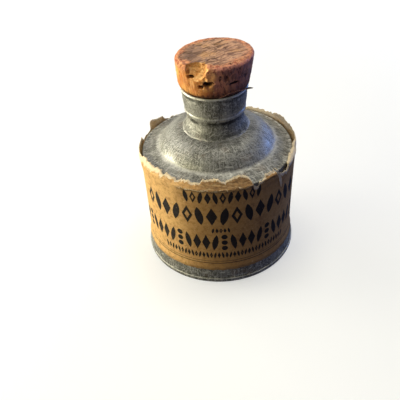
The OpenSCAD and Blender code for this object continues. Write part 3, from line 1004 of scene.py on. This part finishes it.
def build_cork():
    """The cork, carved from its outline, and its two shreds."""
    columns = 300
    outline = np.array(cork_outline())
    angles = np.arange(columns) * 360 / columns
    points = np.vstack([polar(angles, r, z) for r, z in outline])
    slope = unit(np.gradient(outline, axis=0))
    out = np.stack([slope[:, 1], -slope[:, 0]], axis=1)
    normal = np.vstack([polar(angles, a, b) for a, b in out])
    ring = np.repeat(outline, columns, axis=0)
    above = ease((ring[:, 1] - LIP_Z - 0.2) / 0.8)
    is_top = ease((out[:, 1].repeat(columns) - 0.6) / 0.3)

    # Lumps, grain and small pits
    lump = noise_at(points, 0.16, 11, 2)
    rough = noise_at(points, 0.75, 12, 3)
    pit = noise_at(points * (1, 1, 0.5), 0.95, 13, 2)
    stripe = noise_at(points * (1, 1, 0.12), 0.9, 14, 3)
    pits = ease((pit - 0.54) / 0.16)
    depth = 0.14 * lump + 0.09 * rough + 0.09 * stripe * (1 - is_top) - 0.30 * pits
    depth = depth * above + (1 - above) * (0.25 * depth - 0.09)
    # Pits are darkened: their own dark and painted shade in them
    dark = 0.8 * pits + 0.25 * ease((stripe - 0.25) / 0.3) * (1 - is_top)
    fresh = np.zeros(len(points))
    points = points + normal * depth[:, None]
    # Its rim is worn down in front
    worn = through([(0, 0.45), (90, 0.2), (140, 0.1), (220, 0.1), (270, 0.25), (360, 0.45)],
                   np.tile(angles, len(outline)))
    worn = worn * ease((ring[:, 1] - CORK_TOP + 5) / 4) * ease((ring[:, 0] - 9.0) / 4)
    points[:, 2] -= worn
    # The cork leans to the right, and its top is cut a little askew
    share = ease((ring[:, 1] - LIP_Z) / (CORK_TOP - LIP_Z))
    points[:, 0] += LEAN * share
    points[:, 2] += share * (points[:, :2] @ ASKEW - ASKEW_DROP)

    for start, end, half, deep, tone in MARKS:
        p, q = np.array(start), np.array(end)
        length = np.linalg.norm(q - p)
        along = (q - p) / length
        flat = points[:, :2] + 0.4 * np.stack([rough, lump], axis=1) - p
        run = flat @ along
        away = np.abs(flat @ np.array((-along[1], along[0])))
        ends = ease(run / 0.8) * ease((length - run) / 0.8)
        cut = ease(1.25 * (1 - away / (half * (0.3 + 0.7 * ends) + 0.02))) * ends * is_top
        points[:, 2] -= deep * cut
        if tone > 0:
            dark = np.maximum(dark, tone * cut)
        else:
            fresh = np.maximum(fresh, cut)

    for angle, r, above_top, around, outward, upward, darkness in HOLLOWS:
        middle = polar(np.array([angle]), r, CORK_TOP + above_top)[0]
        a = math.radians(angle)
        axes = np.array([[math.cos(a), math.sin(a), 0],
                         [math.sin(a), -math.cos(a), 0], [0, 0, 1]])
        size = np.array([around, outward, upward])
        wavy = points + 0.22 * np.stack([rough, stripe, lump], axis=1)
        heading = -normal
        if darkness == 0:
            # The broken corner is pushed in along one slanting line
            wavy = wavy + 0.75 * noise_at(points, 0.34, 22, 3)[:, None]
            heading = np.tile(polar(np.array([angle]), -0.78, -0.62)[0], (len(points), 1))
        p = (wavy - middle) @ axes.T / size
        d = heading @ axes.T / size
        b = (p * d).sum(1)
        c = (p * p).sum(1) - 1
        dd = (d * d).sum(1)
        root = np.sqrt(np.maximum(b * b - dd * c, 0))
        push = np.where(c < 0, (-b + root) / dd, 0)
        push = np.minimum(push, 5.0)
        points = points + heading * push[:, None]
        share = ease(push / 0.35)
        if darkness > 0:
            dark = np.maximum(dark, darkness * share)
            fresh = fresh * (1 - share)
        else:
            points = points + normal * (0.34 * share * noise_at(
                points * (1, 1, 1.3), 0.42, 21, 3))[:, None]
            fresh = np.maximum(fresh, share)
            dark = dark * (1 - share)

    maps = {"wear": np.stack([dark, fresh], axis=1)}
    faces = grid_faces(len(outline), columns, True)
    piece = mesh_object("cork_stopper", points, faces, maps)
    tidy_mesh(piece)
    piece.data.materials.append(cork_material())
    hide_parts("cork")
    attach(piece, "stopper")
    thread("cork_fibre", FIBRE, skin_material("cork_fibre", "#c48a6c", "#8a5844"))
    thread("cork_splinter", SPLINTER, skin_material("cork_splinter", "#5d3b30", "#2c1a17"))


def cork_material():
    """Orange cork: striped side, streaked top, rubbed rim; painted shade on its
    right side and foot.
    """
    g = Graph("cork")
    dark, fresh, _ = g.map("wear")
    level = g.sub(g.z, g.add(g.mul(g.x, ASKEW[0]), g.mul(g.y, ASKEW[1])))
    top_z = CORK_TOP - ASKEW_DROP
    cloud = g.noise(5.0, detail=3)
    grain = g.noise(1.1, detail=4, rough=0.65)
    cells = g.node("ShaderNodeTexVoronoi", {"feature": "DISTANCE_TO_EDGE"},
                   {"Vector": g.at, "Scale": 1.6}).outputs["Distance"]
    stripe = g.stretched((g.x, 1.7), (g.y, 1.7), (g.z, 7.0), detail=4, rough=0.6, twist=0.6)
    side = g.mix(g.range(cloud, 0.35, 0.65), "#cd7b3a", "#f0ac5a")
    side = g.mix(g.range(stripe, 0.50, 0.64, 0.0, 0.70), side, "#98501f")
    side = g.mix(g.range(stripe, 0.44, 0.34, 0.0, 0.45), side, "#f6c98a")
    # Streaks of the bark run across the top, askew
    along = g.add(g.mul(g.x, 0.85), g.mul(g.y, 0.53))
    across = g.sub(g.mul(g.y, 0.85), g.mul(g.x, 0.53))
    streak = g.stretched((along, 4.5), (across, 1.1), (g.z, 1.0),
                         detail=4, rough=0.55, twist=1.0)
    face = g.mix(g.range(streak, 0.38, 0.58), "#75543f", "#cca081")
    face = g.mix(g.range(cloud, 0.52, 0.72, 0.0, 0.5), face, "#cf9a60")
    face = g.mix(g.range(g.noise(2.6, detail=4), 0.52, 0.64, 0.0, 0.6), face, "#75594f")
    greyed = g.mul(g.range(g.stray(g.x, cloud, 14.0), -1.0, -7.0), 0.5)
    face = g.mix(greyed, face, "#73594e")
    top = g.range(level, top_z - 1.1, top_z - 0.5)
    color = g.mix(top, side, face)
    # The rim is rubbed orange-red
    out = g.stray(g.length(g.sub(g.x, LEAN), g.y), cloud, 5.0)
    out = g.stray(out, streak, 5.0)
    rim = g.mul(g.range(out, 9.8, 11.8), g.range(level, top_z - 3.6, top_z - 1.6))
    rust = g.mix(g.range(grain, 0.38, 0.58), "#9c4726", "#eca274")
    rim = g.mul(rim, g.range(g.noise(1.8, detail=3), 0.36, 0.60, 0.45, 0.95))
    color = g.mix(rim, color, rust)
    # Painted shade darkens and tints its right side, and darkens its foot above
    # the lip and where it meets the lip
    right = g.add(g.mul(g.x, 0.9), g.add(g.mul(g.y, -0.25), g.mul(stripe, 7.0)))
    right = g.range(right, 3.0, 9.0)
    color = g.mix(g.mul(right, g.sub(0.70, g.mul(top, 0.62))), color, "#c8827a")
    patch = g.mul(g.range(g.noise(4.0, detail=3, twist=0.8), 0.50, 0.60), right)
    color = g.mix(g.mul(patch, g.sub(0.44, g.mul(top, 0.40))), color, "#5c4044")
    # Painted shade on its foot just above the lip, except on its left
    shade_above_lip = g.range(g.z, LIP_Z + 6.0, LIP_Z + 1.5, 0.0, 0.65)
    shade_above_lip = g.mul(shade_above_lip, g.range(g.x, -6.5, -1.0))
    color = g.mix(shade_above_lip, color, "#5a2413")
    sinew = g.stretched((g.add(g.x, g.mul(g.z, 0.25)), 0.8), (g.y, 0.8), (g.z, 9.0),
                        detail=2)
    sinew = g.mul(g.range(sinew, 0.56, 0.65), g.sub(1.0, top))
    sinew = g.mul(sinew, g.range(g.x, -5.0, 3.0, 0.12, 0.66))
    color = g.mix(sinew, color, "#5c2b1c")
    # A painted shadow round its foot where it meets the lip
    low = g.range(g.add(g.z, g.mul(stripe, -3.0)), LIP_Z + 0.6, LIP_Z - 0.6)
    color = g.mix(g.mul(low, 0.75), color, "#30150d")
    flecks = g.range(g.noise(0.5, detail=2), 0.63, 0.71, 0.0, 0.5)
    color = g.mix(flecks, color, "#5a2c18")
    pale = g.range(g.noise(0.6, detail=2, twist=0.5), 0.66, 0.74, 0.0, 0.5)
    color = g.mix(pale, color, "#e8c79c")
    color = g.mix(fresh, color, g.mix(g.range(grain, 0.35, 0.65), "#dc9048", "#f8c684"))
    # Pits, cracks and holes: their own dark and painted shade in them
    color = g.mix(g.range(dark, 0.1, 0.9, 0.0, 0.95), color, "#22100a")
    height = g.add(g.mul(g.range(cells, 0.0, 0.12), 0.35), g.mul(stripe, 0.5))
    height = g.add(grain, height)
    rough = g.range(grain, 0.3, 0.7, 0.55, 0.8)
    return g.finish(color=color, rough=rough, specular=0.3,
                    normal=g.bump(height, 0.18, 0.8))


build_tin()
build_label()
build_cork()
